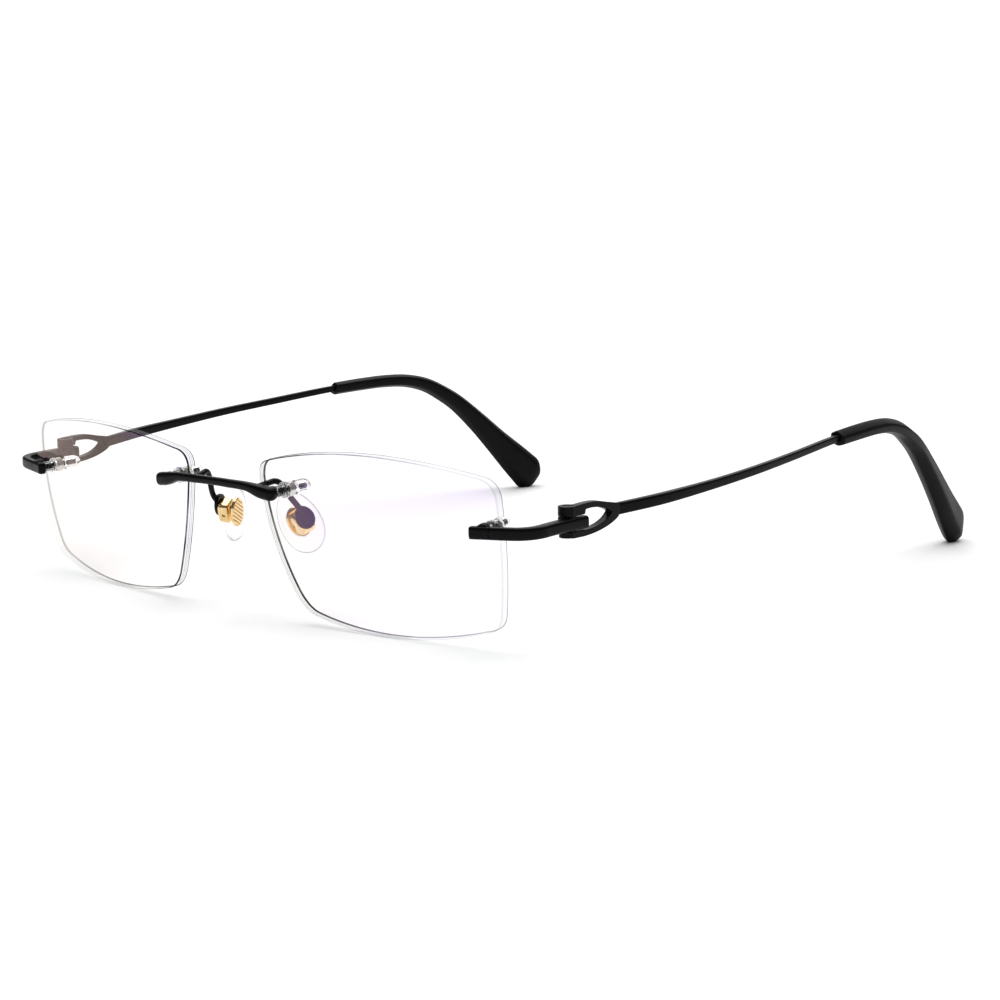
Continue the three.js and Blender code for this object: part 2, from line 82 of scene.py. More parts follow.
PLATE_START = (59.3, 2.55)
PLATE_ANGLE = math.radians(16.5)
PLATE_HALF_THICKNESS = 0.8
SIDE_CENTRE_X = 70.15
CORNER_RADIUS = 3.8
BAR_HALF_THICKNESS = 1.12
BAR_HALF_HEIGHT = 1.1
BAR_END_Y = 19.2
HINGE = (69.3, 15.8)
KNUCKLE_RADIUS = 1.65
KNUCKLE_SPAN = (20.85, 23.05)
BARREL_SPAN = (23.2, 24.95)
LOWER_KNUCKLE_SPAN = (19.55, 20.66)
FORK_INNER_X = 69.4
FORK_THICKNESS = 1.6
FORK_END_Y = 27.0
SCREW_RADIUS = 0.5
SCREW_HEAD_RADIUS = 0.9
SCREW_HEAD_HEIGHT = 0.4
SCREW_BOTTOM = 19.9
RUNNING_GAP = 0.06

PAD_CENTRE = Vector((10.5, 8.9, 16.9))
PAD_ALONG = Vector((3.2, 4.4, -10.6)).normalized()
PAD_FACING = Vector((-0.93, 0.37, 0.0))
PAD_HALF_LENGTH = 6.2
PAD_HALF_WIDTH = 4.0
PAD_BACK = 0.75
PAD_THICKNESS = 2.45
INSERT_HALF_LENGTH = 2.95
INSERT_HALF_WIDTH = 2.15
INSERT_BACK = 1.7
INSERT_THICKNESS = 0.7
BOX_HALF_LENGTH = 2.1
BOX_HALF_WIDTH = 1.75
BOX_FRONT = 0.85
BOX_BACK = -1.15
CUP_HALF_LENGTH = 2.25
CUP_HALF_WIDTH = 1.8
CUP_THICKNESS = 0.9
CUP_OFFSET = (-0.45, 0.8)
ARM_RADIUS = 0.55
PAD_SCREW_RADIUS = 0.3
PAD_SCREW_HEAD_RADIUS = 0.5
PAD_SCREW_TAIL = -1.5
PAD_SCREW_HEAD_SPAN = (1.8, 2.5)

MM = 0.001
hinge_low, hinge_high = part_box("hinge_screw_left")
DEPTH_OFFSET = (hinge_low.y + hinge_high.y) / 2 - HINGE[1] * MM
TO_FRAME = Matrix.Translation((0, DEPTH_OFFSET, 0)) @ Matrix.Scale(MM, 4)
MIRROR = Matrix.Scale(-1, 4, (1, 0, 0))

# ---------------------------------------------------------------- mesh helpers


def shown(name, data):
    """A new object of the scene."""
    obj = bpy.data.objects.new(name, data)
    bpy.context.scene.collection.objects.link(obj)
    return obj


def mesh_object(name, vertices, faces):
    mesh = bpy.data.meshes.new(name)
    mesh.from_pydata([tuple(v) for v in vertices], [], faces)
    return tidied(shown(name, mesh))


def from_bmesh(name, bm):
    mesh = bpy.data.meshes.new(name)
    bm.to_mesh(mesh)
    bm.free()
    return shown(name, mesh)


def tidied(obj, distance=1e-4):
    """Welds the seams and turns every face outwards."""
    bm = bmesh.new()
    bm.from_mesh(obj.data)
    bmesh.ops.remove_doubles(bm, verts=bm.verts, dist=distance)
    bmesh.ops.dissolve_degenerate(bm, edges=bm.edges, dist=distance)
    bmesh.ops.recalc_face_normals(bm, faces=bm.faces)
    bm.to_mesh(obj.data)
    bm.free()
    return obj


def discard(obj):
    mesh = obj.data
    bpy.data.objects.remove(obj)
    bpy.data.meshes.remove(mesh)


def modified(obj, kind, **settings):
    """Applies one modifier."""
    modifier = obj.modifiers.new(kind, kind)
    for key, value in settings.items():
        setattr(modifier, key, value)
    depsgraph = bpy.context.evaluated_depsgraph_get()
    result = bpy.data.meshes.new_from_object(obj.evaluated_get(depsgraph))
    old = obj.data
    obj.modifiers.clear()
    obj.data = result
    bpy.data.meshes.remove(old)
    return obj


def softened(obj, width, segments=3, angle=35):
    """Rounds off the edges sharper than the angle."""
    return modified(
        obj,
        "BEVEL",
        width=width,
        segments=segments,
        limit_method="ANGLE",
        angle_limit=math.radians(angle),
    )


def carved(obj, *tools, operation="DIFFERENCE"):
    for tool in tools:
        modified(obj, "BOOLEAN", object=tool, operation=operation, solver="EXACT")
        discard(tool)
    return obj


def engraved(obj, material, *tools):
    """Carves with tools that leave their own material on the cut faces."""
    settings = {"operation": "DIFFERENCE", "solver": "EXACT", "material_mode": "TRANSFER"}
    for tool in tools:
        tool.data.materials.append(material)
        modified(obj, "BOOLEAN", object=tool, **settings)
        discard(tool)
    return obj


def moved(obj, matrix):
    obj.data.transform(matrix)
    if matrix.determinant() < 0:
        obj.data.flip_normals()
    return obj


def copied(obj, matrix=Matrix.Identity(4)):
    return moved(shown(obj.name, obj.data.copy()), matrix)


def joined(name, *pieces):
    bm = bmesh.new()
    for piece in pieces:
        bm.from_mesh(piece.data)
        discard(piece)
    return from_bmesh(name, bm)


def cast(name, *pieces, grain=0.08, rounds=6):
    """Melts closed pieces into one skin with small fillets and soft edges, like a polished casting."""
    whole = joined(name, *pieces)
    modified(whole, "REMESH", mode="VOXEL", voxel_size=grain)
    return modified(whole, "SMOOTH", factor=0.5, iterations=rounds)


def turned(name, profile, segments=48):
    """A solid of revolution about +Y from a closed profile of (radius, height) points."""
    count = len(profile)
    vertices = []
    faces = []
    for s in range(segments):
        angle = 2 * math.pi * s / segments
        vertices += [(r * math.cos(angle), h, r * math.sin(angle)) for r, h in profile]
    for s in range(segments):
        near, far = s * count, ((s + 1) % segments) * count
        for p in range(count):
            q = (p + 1) % count
            if profile[p][0] > 0 or profile[q][0] > 0:
                faces.append((near + p, near + q, far + q, far + p))
    return mesh_object(name, vertices, faces)


def upright(name, radius, span, segments=64):
    """A vertical cylinder on the hinge axis."""
    low, high = span
    cylinder = turned(name, [(0, low), (radius, low), (radius, high), (0, high)], segments)
    return moved(cylinder, Matrix.Translation((*HINGE, 0)) @ Matrix.Rotation(math.pi / 2, 4, "X"))


def skinned(name, rings):
    """Skins rings of points and closes both ends with a fan."""
    sides = len(rings[0])
    vertices = [point for ring in rings for point in ring]
    faces = []
    for r in range(len(rings) - 1):
        for s in range(sides):
            a, b = r * sides + s, r * sides + (s + 1) % sides
            faces.append((a, b, b + sides, a + sides))
    for first, ring in ((0, rings[0]), ((len(rings) - 1) * sides, rings[-1])):
        centre = len(vertices)
        vertices.append(sum((Vector(p) for p in ring), Vector()) / sides)
        faces += [(centre, first + s, first + (s + 1) % sides) for s in range(sides)]
    return mesh_object(name, vertices, faces)


def block(name, size, centre):
    bm = bmesh.new()
    bmesh.ops.create_cube(bm, size=1, matrix=Matrix.Translation(centre) @ Matrix.Diagonal((*size, 1)))
    return from_bmesh(name, bm)


# ---------------------------------------------------------------- curves and sections


def curve_point(points, t):
    """A centripetal Catmull-Rom curve, t from 0 to 1, through points that start with x, y and z."""
    last = len(points) - 1
    i = min(int(t * last), last - 1)
    weight = t * last - i
    p1, p2 = points[i], points[i + 1]
    p0 = points[i - 1] if i > 0 else 2 * p1 - p2
    p3 = points[i + 2] if i + 2 <= last else 2 * p2 - p1
    pairs = ((p0, p1), (p1, p2), (p2, p3))
    d0, d1, d2 = (max(np.linalg.norm((b - a)[:3]), 1e-4) ** 0.5 for a, b in pairs)
    m1 = ((p1 - p0) / d0 - (p2 - p0) / (d0 + d1) + (p2 - p1) / d1) * d1
    m2 = ((p2 - p1) / d1 - (p3 - p1) / (d1 + d2) + (p3 - p2) / d2) * d1
    squared, cubed = weight**2, weight**3
    rising = 3 * squared - 2 * cubed
    return (1 - rising) * p1 + rising * p2 + (cubed - 2 * squared + weight) * m1 + (cubed - squared) * m2


def super_ellipse(exponent, sides):
    """Points from -1 to 1 round a section: exponent 2 is an ellipse, and more is squarer."""
    power = 2 / exponent
    points = []
    for s in range(sides):
        angle = 2 * math.pi * (s + 0.5) / sides
        across, rise = math.cos(angle), math.sin(angle)
        points.append((math.copysign(abs(across) ** power, across), math.copysign(abs(rise) ** power, rise)))
    return points


def rounded_polygon(corners, cuts=(0.13, 0.25, 0.25)):
    """Cuts a polygon's corners, by a share of each side, and stretches it to reach from -1 to 1."""
    points = np.array(corners, float)
    for cut in cuts:
        following = np.roll(points, -1, axis=0)
        past_corner = (1 - cut) * points + cut * following
        before_next = cut * points + (1 - cut) * following
        points = np.stack([past_corner, before_next], 1).reshape(-1, 2)
    low, high = points.min(0), points.max(0)
    return (points - (low + high) / 2) / ((high - low) / 2)


def lofted(name, stations, rings, section, start_dome=0.0, end_dome=0.0, dome_rings=8, bluntness=1.0):
    """Lofts a bar along stations of (x, y, z, half width, half height), width being level.

    section(t) gives the section's points from -1 to 1. A domed end is rounded off past its last station;
    a bluntness of 1 is round.
    """
    path = [np.array(station, float) for station in stations]
    step = 1e-3

    def ring_at(t, forward=0.0, scale=1.0):
        here = curve_point(path, t)
        ahead, behind = curve_point(path, min(t + step, 1)), curve_point(path, max(t - step, 0))
        tangent = Vector((ahead - behind)[:3]).normalized()
        level = tangent.cross(Vector((0, 0, 1))).normalized()
        rise = level.cross(tangent)
        centre = Vector(here[:3]) + tangent * forward
        half_width, half_height = here[3] * scale, here[4] * scale
        return [centre + level * (u * half_width) + rise * (v * half_height) for u, v in section(t)]

    def dome(t, length, sign):
        angles = [(i + 1) / (dome_rings + 0.3) * math.pi / 2 for i in range(dome_rings if length > 0 else 0)]
        return [ring_at(t, sign * length * math.sin(a), math.cos(a) ** (1 / bluntness)) for a in angles]

    body = [ring_at(i / rings) for i in range(rings + 1)]
    return skinned(name, dome(0, start_dome, -1)[::-1] + body + dome(1, end_dome, 1))


def bezier(points, steps):
    """Points along a Bezier curve of any degree, leaving out its first."""
    curve = []
    for step in range(1, steps + 1):
        level = [np.array(p, float) for p in points]
        while len(level) > 1:
            level = [a + (b - a) * step / steps for a, b in zip(level, level[1:])]
        curve.append(tuple(level[0]))
    return curve


def drop_outline(half_width, half_length, sides, fullness):
    """A rounded outline that is a little wider below its middle."""
    outline = []
    for i in range(sides):
        angle = 2 * math.pi * i / sides
        width = half_width * (1 - fullness * math.sin(angle))
        outline.append((width * math.cos(angle), half_length * math.sin(angle)))
    return outline


def layered(name, outline, layers):
    """Skins one outline at several (height, scale) layers."""
    return skinned(name, [[(x * scale, y * scale, height) for x, y in outline] for height, scale in layers])


# ---------------------------------------------------------------- materials


def new_material(name):
    material = bpy.data.materials.new(name)
    material.use_nodes = True
    material.node_tree.nodes.clear()
    return material, material.node_tree


def node(tree, kind, **inputs):
    """Adds a node and sets or links its inputs, named with _ for each space, or counted as i0, i1 ..."""
    made = tree.nodes.new(kind)
    for key, value in inputs.items():
        numbered = key[0] == "i" and key[1:].isdigit()
        socket = made.inputs[int(key[1:]) if numbered else key.replace("_", " ")]
        if isinstance(value, bpy.types.NodeSocket):
            tree.links.new(value, socket)
        else:
            socket.default_value = value
    return made


def noise(tree, place, scale, detail=4.0, roughness=0.5):
    """Fine irregularity, in cycles per metre, so that it has the same size on every piece."""
    settings = {"Scale": scale, "Detail": detail, "Roughness": roughness}
    return node(tree, "ShaderNodeTexNoise", Vector=place, **settings).outputs[0]


def ramp(tree, value, low, high, to_low, to_high):
    """Maps value from low..high to to_low..to_high, clamped."""
    settings = {"From_Min": low, "From_Max": high, "To_Min": to_low, "To_Max": to_high}
    return node(tree, "ShaderNodeMapRange", Value=value, **settings).outputs[0]


def mixed(tree, factor, first, second):
    """A colour between two colours."""
    mix = tree.nodes.new("ShaderNodeMix")
    mix.data_type = "RGBA"
    for socket, value in ((mix.inputs[0], factor), (mix.inputs[6], first), (mix.inputs[7], second)):
        if isinstance(value, bpy.types.NodeSocket):
            tree.links.new(value, socket)
        else:
            socket.default_value = value if isinstance(value, float) else (*value, 1)
    return mix.outputs[2]


def combined(tree, operation, first, second):
    """One step of arithmetic on two values, kept between 0 and 1."""
    maths = tree.nodes.new("ShaderNodeMath")
    maths.operation = operation
    maths.use_clamp = True
    tree.links.new(first, maths.inputs[0])
    tree.links.new(second, maths.inputs[1])
    return maths.outputs[0]


def bumped(tree, height, distance, strength=0.5):
    """A surface normal from a height; distance is in metres."""
    return node(tree, "ShaderNodeBump", Height=height, Distance=distance, Strength=strength).outputs[0]


def principled(tree, **inputs):
    return node(tree, "ShaderNodeBsdfPrincipled", **inputs).outputs[0]


def output(tree, shader):
    node(tree, "ShaderNodeOutputMaterial", Surface=shader)


def output_part_clear(tree, solid, surface, clear_colour):
    """Shows the surface by the share solid, and what lies behind it by the rest."""
    through = node(tree, "ShaderNodeBsdfTransparent", Color=(*clear_colour, 1))
    mix = node(tree, "ShaderNodeMixShader", Fac=solid, i1=through.outputs[0], i2=surface)
    output(tree, mix.outputs[0])


def facing_of(tree):
    """0 where a surface is seen square on, rising to 1 at its outline."""
    return node(tree, "ShaderNodeLayerWeight", Blend=0.5).outputs["Facing"]


def place_of(tree):
    return tree.nodes.new("ShaderNodeTexCoord").outputs["Object"]


def edge_wear_and_highlight(tree, place, amount):
    """Where convex edges have been rubbed, and where a painted highlight lightens them, broken up by noise.
    """
    edges = ramp(tree, tree.nodes.new("ShaderNodeNewGeometry").outputs["Pointiness"], 0.52, 0.62, 0.0, amount)
    patches = ramp(tree, noise(tree, place, 900.0), 0.4, 0.7, 0.3, 1.0)
    return combined(tree, "MULTIPLY", edges, patches)


def black_metal():
    """Satin black coating over metal: an even fine orange peel, greyer on the edges where it is a little
    thinner and where a highlight is painted on them.
    """
    material, tree = new_material("black_metal")
    place = place_of(tree)
    mottled = mixed(tree, noise(tree, place, 260.0), (0.0015, 0.0015, 0.0016), (0.0035, 0.0034, 0.0035))
    # The edges are lightened for rubbed wear and for a painted highlight.
    colour = mixed(tree, edge_wear_and_highlight(tree, place, 0.5), mottled, (0.03, 0.03, 0.032))
    roughness = ramp(tree, noise(tree, place, 1400.0, 6.0), 0.3, 0.7, 0.25, 0.36)
    peel = bumped(tree, noise(tree, place, 4200.0, 2.0), 0.00002, 0.35)
    coat = {"Base_Color": colour, "Roughness": roughness, "Normal": peel}
    output(tree, principled(tree, **coat, Specular_IOR_Level=0.09))
    return material


def black_plastic():
    """Polished black moulded plastic with faint handling scratches along its length."""
    material, tree = new_material("black_plastic")
    place = place_of(tree)
    stretched = node(tree, "ShaderNodeMapping", Vector=place, Scale=(4.0, 0.35, 1.0)).outputs[0]
    scratches = noise(tree, stretched, 2600.0, 5.0, 0.7)
    colour = mixed(tree, noise(tree, place, 180.0), (0.002, 0.002, 0.002), (0.0048, 0.0046, 0.0045))
    roughness = ramp(tree, scratches, 0.3, 0.75, 0.3, 0.5)
    skin_bump = bumped(tree, noise(tree, place, 1500.0, 3.0), 0.00003, 0.3)
    skin = {"Base_Color": colour, "Roughness": roughness, "Normal": skin_bump}
    output(tree, principled(tree, **skin, Specular_IOR_Level=0.08))
    return material


def bright_metal(name, low_colour, high_colour, low_roughness, high_roughness):
    """Small machined or plated metal: fine turning marks, and in recesses a darker, duller version that is
    painted shade.
    """
    material, tree = new_material(name)
    place = place_of(tree)
    colour = mixed(tree, noise(tree, place, 700.0), low_colour, high_colour)
    marks = noise(tree, place, 5200.0, 4.0, 0.65)
    roughness = ramp(tree, marks, 0.3, 0.7, low_roughness, high_roughness)
    turned_marks = bumped(tree, marks, 0.00001, 0.3)
    finish = {"Base_Color": colour, "Roughness": roughness, "Normal": turned_marks}
    output(tree, principled(tree, **finish, Metallic=1.0))
    return material


def steel():
    return bright_metal("steel", (0.58, 0.58, 0.5), (0.82, 0.81, 0.73), 0.28, 0.44)


def gold():
    return bright_metal("gold", (0.88, 0.6, 0.25), (1.0, 0.81, 0.46), 0.16, 0.3)


def gold_groove_shade():
    """Gold at the bottom of stamped grooves: duller, and darker as painted shade in the grooves."""
    return bright_metal("gold_groove_shade", (0.64, 0.38, 0.13), (0.8, 0.52, 0.22), 0.35, 0.5)


def clear_plastic():
    """Clear moulded plastic with faint flow lines."""
    material, tree = new_material("clear_plastic")
    place = place_of(tree)
    flow = noise(tree, place, 900.0, 3.0)
    shader = principled(
        tree,
        Base_Color=mixed(tree, flow, (0.9, 0.91, 0.9), (0.98, 0.98, 0.98)),
        Roughness=ramp(tree, noise(tree, place, 2400.0), 0.3, 0.7, 0.02, 0.1),
        Normal=bumped(tree, flow, 0.00002, 0.2),
        Transmission_Weight=1.0,
        IOR=1.46,
    )
    output(tree, shader)
    return material


def clear_rubber(name, dark_colour, light_colour, slant, least_solid, most_solid):
    """Clear soft silicone with a faint dusty bloom, solid to the eye only where it is seen at a slant, where
    its colour is a painted dark reflection along the outline.
    """
    material, tree = new_material(name)
    place = place_of(tree)
    bloom = noise(tree, place, 500.0, 5.0)
    surface = principled(
        tree,
        Base_Color=mixed(tree, bloom, dark_colour, light_colour),
        Roughness=ramp(tree, bloom, 0.3, 0.7, 0.16, 0.34),
        Normal=bumped(tree, noise(tree, place, 1800.0), 0.00003, 0.25),
    )
    solid = ramp(tree, facing_of(tree), slant, 0.98, least_solid, most_solid)
    output_part_clear(tree, solid, surface, (1, 0.995, 0.985))
    return material


def silicone():
    return clear_rubber("silicone", (0.3, 0.27, 0.25), (0.42, 0.4, 0.38), 0.8, 0.03, 0.5)


def silicone_rim():
    """The pad's narrow rounded side, whose outline gathers dark reflections."""
    return clear_rubber("silicone_rim", (0.03, 0.024, 0.022), (0.11, 0.095, 0.09), 0.4, 0.08, 0.95)


def lens_surface():
    """Clear lens with an anti-reflection coating: it reflects a weak violet, and brown at a slant."""
    material, tree = new_material("lens_surface")
    place = place_of(tree)
    facing = facing_of(tree)
    slant = ramp(tree, facing, 0.34, 0.44, 0.0, 1.0)
    smears = noise(tree, place, 240.0, 5.0, 0.6)
    mirror = node(
        tree,
        "ShaderNodeBsdfGlossy",
        Color=mixed(tree, slant, (0.72, 0.42, 0.98), (0.8, 0.62, 0.56)),
        Roughness=ramp(tree, smears, 0.4, 0.8, 0.02, 0.07),
        Normal=bumped(tree, smears, 0.000002, 0.2),
    )
    share = ramp(tree, facing, 0.5, 1.0, 0.075, 0.3)
    output_part_clear(tree, share, mirror.outputs[0], (0.995, 0.998, 0.997))
    return material


def ground_glass(name, dark_colour, light_colour, nasal_share, temple_share):
    """Ground and buffed lens material, with fine grinding lines.

    It comes and goes in clouds and is paler where it faces up or down, which is a painted highlight. The two
    shares are how solid it is to the eye near the nose and near the temple, to paint shade along the nasal
    edge.
    """
    material, tree = new_material(name)
    place = place_of(tree)
    ground = noise(tree, place, 3200.0, 4.0, 0.7)
    clouds = noise(tree, place, 110.0, 3.0)
    # Where the edge faces up or down it is painted paler, as a highlight.
    normal = tree.nodes.new("ShaderNodeNewGeometry").outputs["Normal"]
    rise = node(tree, "ShaderNodeSeparateXYZ", Vector=normal).outputs["Z"]
    slope = combined(tree, "MULTIPLY", rise, rise)
    clouds_and_highlight = combined(tree, "ADD", clouds, ramp(tree, slope, 0.1, 0.8, 0.0, 0.14))
    surface = principled(
        tree,
        Base_Color=mixed(tree, clouds_and_highlight, dark_colour, light_colour),
        Roughness=ramp(tree, ground, 0.3, 0.7, 0.12, 0.35),
        Normal=bumped(tree, ground, 0.00001, 0.3),
        Specular_IOR_Level=0.2,
    )
    # Set by the distance from the nose, to paint shade along the nasal edge.
    across = node(tree, "ShaderNodeSeparateXYZ", Vector=place).outputs["X"]
    from_nose = node(tree, "ShaderNodeMath", i0=across)
    from_nose.operation = "ABSOLUTE"
    share = ramp(tree, from_nose.outputs[0], 0.02, 0.058, nasal_share, temple_share)
    solid = combined(tree, "MULTIPLY", share, ramp(tree, clouds_and_highlight, 0.5, 0.8, 1.0, 0.6))
    output_part_clear(tree, solid, surface, (0.93, 0.95, 0.94))
    return material


def lens_edge():
    """The flat of the lens's edge: pale and almost clear."""
    return ground_glass("lens_edge", (0.1, 0.11, 0.11), (0.34, 0.36, 0.34), 0.1, 0.05)


def lens_shade_line():
    """Dark lines painted round the edge as the shade that it shows through refraction, fading out towards the
    temple.
    """
    return ground_glass("lens_shade_line", (0.01, 0.011, 0.011), (0.1, 0.1, 0.1), 0.7, 0.0)


def lens_rim(name, temple_share):
    """A narrow safety bevel, painted near black as the shade it shows against a white room."""
    return ground_glass(name, (0.003, 0.0035, 0.0035), (0.03, 0.03, 0.03), 1.0, temple_share)


BLACK_METAL = black_metal()
BLACK_PLASTIC = black_plastic()
STEEL = steel()
GOLD = gold()
CLEAR_PLASTIC = clear_plastic()
SILICONE = silicone()
SILICONE_RIM = silicone_rim()
LENS_SURFACE = lens_surface()
LENS_EDGE = lens_edge()
LENS_SHADE_LINE = lens_shade_line()
LENS_FRONT_RIM = lens_rim("lens_front_rim", 0.15)
LENS_REAR_RIM = lens_rim("lens_rear_rim", 0.5)
GOLD_GROOVE_SHADE = gold_groove_shade()

# ---------------------------------------------------------------- placing pieces


def put(obj, node_name, body, slot, *materials, sharp=40):
    """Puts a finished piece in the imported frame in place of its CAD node."""
    obj.name = f"fine_{node_name}"
    obj.data.name = obj.name
    moved(obj, TO_FRAME)
    faces = obj.data.polygons
    chosen = [min(face.material_index, len(materials) - 1) for face in faces]
    obj.data.materials.clear()
    for material in materials:
        obj.data.materials.append(material)
    faces.foreach_set("material_index", chosen)
    faces.foreach_set("use_smooth", [True] * len(faces))
    obj.data.set_sharp_from_angle(angle=math.radians(sharp))
    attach(obj, body)
    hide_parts(node_name)
    return obj


def put_pair(obj, node_name, body, slot, *materials, sharp=40):
    """Puts the left piece and its mirrored right twin. A body ending in _ has one for each side."""
    twin = copied(obj, MIRROR)
    for piece, side in ((obj, "left"), (twin, "right")):
        on_body = f"{body}{side}" if body.endswith("_") else body
        put(piece, f"{node_name}_{side}", on_body, slot, *materials, sharp=sharp)


# ---------------------------------------------------------------- lenses


LENS_MATERIALS = (LENS_SURFACE, LENS_EDGE, LENS_SHADE_LINE, LENS_FRONT_RIM, LENS_REAR_RIM)


def lens_outline():
    """The outline from the front, temple side towards +X: four bowed edges and four round corners."""
    corners = [
        ((-24, 13.2), (-1, 19.3), (24, 13.7)),
        ((24, 13.7), (27, 13), (27.2, 9.5)),
        ((27.2, 9.5), (28, -1), (25.9, -10.6)),
        ((25.9, -10.6), (25.4, -13.4), (21.8, -13.9)),
        ((21.8, -13.9), (3, -18.6), (-16.2, -14.8)),
        ((-16.2, -14.8), (-19.3, -14.2), (-21.2, -10.2)),
        ((-21.2, -10.2), (-25.7, -1.2), (-27, 8.6)),
        ((-27, 8.6), (-27.5, 12.6), (-24, 13.2)),
    ]
    return [point for curve in corners for point in bezier(curve, 20)]


def sag(u, v):
    return LENS_CURVE_RADIUS - math.sqrt(LENS_CURVE_RADIUS**2 - u**2 - v**2)


def frame_matrix(x_axis, y_axis, z_axis, origin):
    return Matrix.Translation(origin) @ Matrix((x_axis, y_axis, z_axis)).transposed().to_4x4()


def lens_placement():
    """The lens frame: +X across towards the temple, +Y up the lens, +Z out of its front."""
    across = Vector((math.cos(WRAP_ANGLE), math.sin(WRAP_ANGLE), 0))
    front = Vector(
        (
            math.sin(WRAP_ANGLE) * math.cos(FORWARD_TILT),
            -math.cos(WRAP_ANGLE) * math.cos(FORWARD_TILT),
            -math.sin(FORWARD_TILT),
        )
    )
    return frame_matrix(across, front.cross(across), front, LENS_CENTRE)


def hole_placement(hole):
    """The frame of a drilled hole: origin on the lens front, +Y straight back through the lens."""
    across, up = hole
    depth = sag(across, up)
    back = Vector((-across, -up, depth - LENS_CURVE_RADIUS)).normalized()
    sideways = back.cross(Vector((0, 1, 0))).normalized()
    return frame_matrix(sideways, back, sideways.cross(back), Vector((across, up, -depth)))


def lens_zone(face):
    """Which of LENS_MATERIALS a face of the undrilled lens gets, by its slope and its depth."""
    x, y, z = face.center
    depth = -z - sag(x, y)
    if abs(face.normal.z) > 0.95:
        return 0
    if depth < LENS_BEVEL:
        return 3
    if depth > REAR_RIM_START:
        return 4
    return 2 if any(start < depth < end for start, end in SHADE_LINE_DEPTHS) else 1


def lens():
    """A meniscus with a safety bevel round both rims and two drilled holes."""
    outline = lens_outline()
    mean_half_width = 20
    inset = 1 - LENS_BEVEL / mean_half_width
    scales = [inset * share for share in (1, 0.96, 0.9, 0.8, 0.65, 0.45, 0.2, 0.02)]

    def ring(scale, depth):
        return [(x * scale, y * scale, -sag(x * scale, y * scale) - depth) for x, y in outline]

    front = [ring(scale, 0) for scale in reversed(scales)]
    back = [ring(scale, LENS_THICKNESS) for scale in scales]
    line_edges = [depth for line in SHADE_LINE_DEPTHS for depth in line]
    wall = [LENS_BEVEL, *line_edges, REAR_RIM_START, LENS_THICKNESS - LENS_BEVEL]
    blank = skinned("lens", front + [ring(1, depth) for depth in wall] + back)
    for material in LENS_MATERIALS:
        blank.data.materials.append(material)
    for face in blank.data.polygons:
        face.material_index = lens_zone(face)
    reach = LENS_THICKNESS + 2
    bore = SLEEVE_RADIUS + GAP
    drill_profile = [(0, -reach), (bore, -reach), (bore, reach), (0, reach)]
    drills = [
        moved(turned("drill", drill_profile, 40), hole_placement(hole))
        for hole in (NASAL_HOLE, TEMPLE_HOLE)
    ]
    return moved(engraved(blank, LENS_REAR_RIM, *drills), lens_placement())


# ---------------------------------------------------------------- clamps


def threaded_rod(start, end, sides=24):
    """A rod along +Y with a cut thread and a chamfered end."""
    depth = 0.07
    rows_per_turn = 8
    rows = int((end - start) / THREAD_PITCH * rows_per_turn)
    rings = []
    for row in range(rows + 1):
        height = start + (end - start) * row / rows
        chamfer = 1 - 0.3 * max(0.0, 1 - (end - height) / 0.2)
        ring = []
        for s in range(sides):
            angle = 2 * math.pi * s / sides
            phase = (height / THREAD_PITCH - s / sides) % 1
            radius = (STUD_RADIUS - depth * abs(2 * phase - 1)) * chamfer
            ring.append((radius * math.cos(angle), height, radius * math.sin(angle)))
        rings.append(ring)
    return skinned("stud", rings)


def bushing():
    """Clear sleeve in the lens hole, with a flange against the back of the lens."""
    bore = STUD_RADIUS + GAP
    back = LENS_THICKNESS + SEAT_GAP
    rim = back + FLANGE_THICKNESS
    sleeve = [(bore, GAP), (SLEEVE_RADIUS, GAP), (SLEEVE_RADIUS, back)]
    profile = [*sleeve, (WASHER_RADIUS, back), (WASHER_RADIUS, rim), (bore, rim)]
    return softened(turned("bushing", profile), 0.12)


def washer():
    bore = STUD_RADIUS + GAP
    profile = [(bore, 0), (WASHER_RADIUS, 0), (WASHER_RADIUS, WASHER_THICKNESS), (bore, WASHER_THICKNESS)]
    return softened(turned("washer", profile), 0.16)


def lock_nut():
    """Hexagonal nut with turned chamfers on both faces and a countersunk bore."""
    corner = NUT_ACROSS_FLATS / math.sqrt(3)
    hexagon = turned("nut", [(0, 0), (corner, 0), (corner, NUT_THICKNESS), (0, NUT_THICKNESS)], 6)
    chamfer = 0.28
    blank_profile = [
        (0, 0),
        (corner - chamfer, 0),
        (corner + 0.05, chamfer * 0.8),
        (corner + 0.05, NUT_THICKNESS - chamfer * 0.8),
        (corner - chamfer, NUT_THICKNESS),
        (0, NUT_THICKNESS),
    ]
    carved(hexagon, turned("chamfers", blank_profile, 64), operation="INTERSECT")
    bore = STUD_RADIUS + GAP
    bore_profile = [
        (0, -0.1),
        (bore + 0.3, -0.1),
        (bore, 0.2),
        (bore, NUT_THICKNESS - 0.2),
        (bore + 0.3, NUT_THICKNESS + 0.1),
        (0, NUT_THICKNESS + 0.1),
    ]
    return softened(carved(hexagon, turned("bore", bore_profile, 48)), 0.05, 2, 25)


def end_cap():
    """Bullet-shaped clear cap over the end of the stud."""
    nose_start = CAP_LENGTH - 1.7
    cavity = STUD_RADIUS + GAP
    floor = CAP_LENGTH - 0.9
    steps = 10
    tip_radius = 0.2
    nose = []
    for i in range(1, steps):
        angle = i / steps * math.pi / 2
        radius = tip_radius + (CAP_RADIUS - tip_radius) * math.cos(angle)
        nose.append((radius, nose_start + (CAP_LENGTH - nose_start) * math.sin(angle)))
    mouth = [(cavity, 0), (CAP_RADIUS - 0.12, 0), (CAP_RADIUS, 0.12), (CAP_RADIUS, nose_start)]
    inside = [(0, floor), (cavity * 0.6, floor), (cavity, floor - 0.25)]
    return turned("cap", [*mouth, *nose, (0, CAP_LENGTH), *inside])


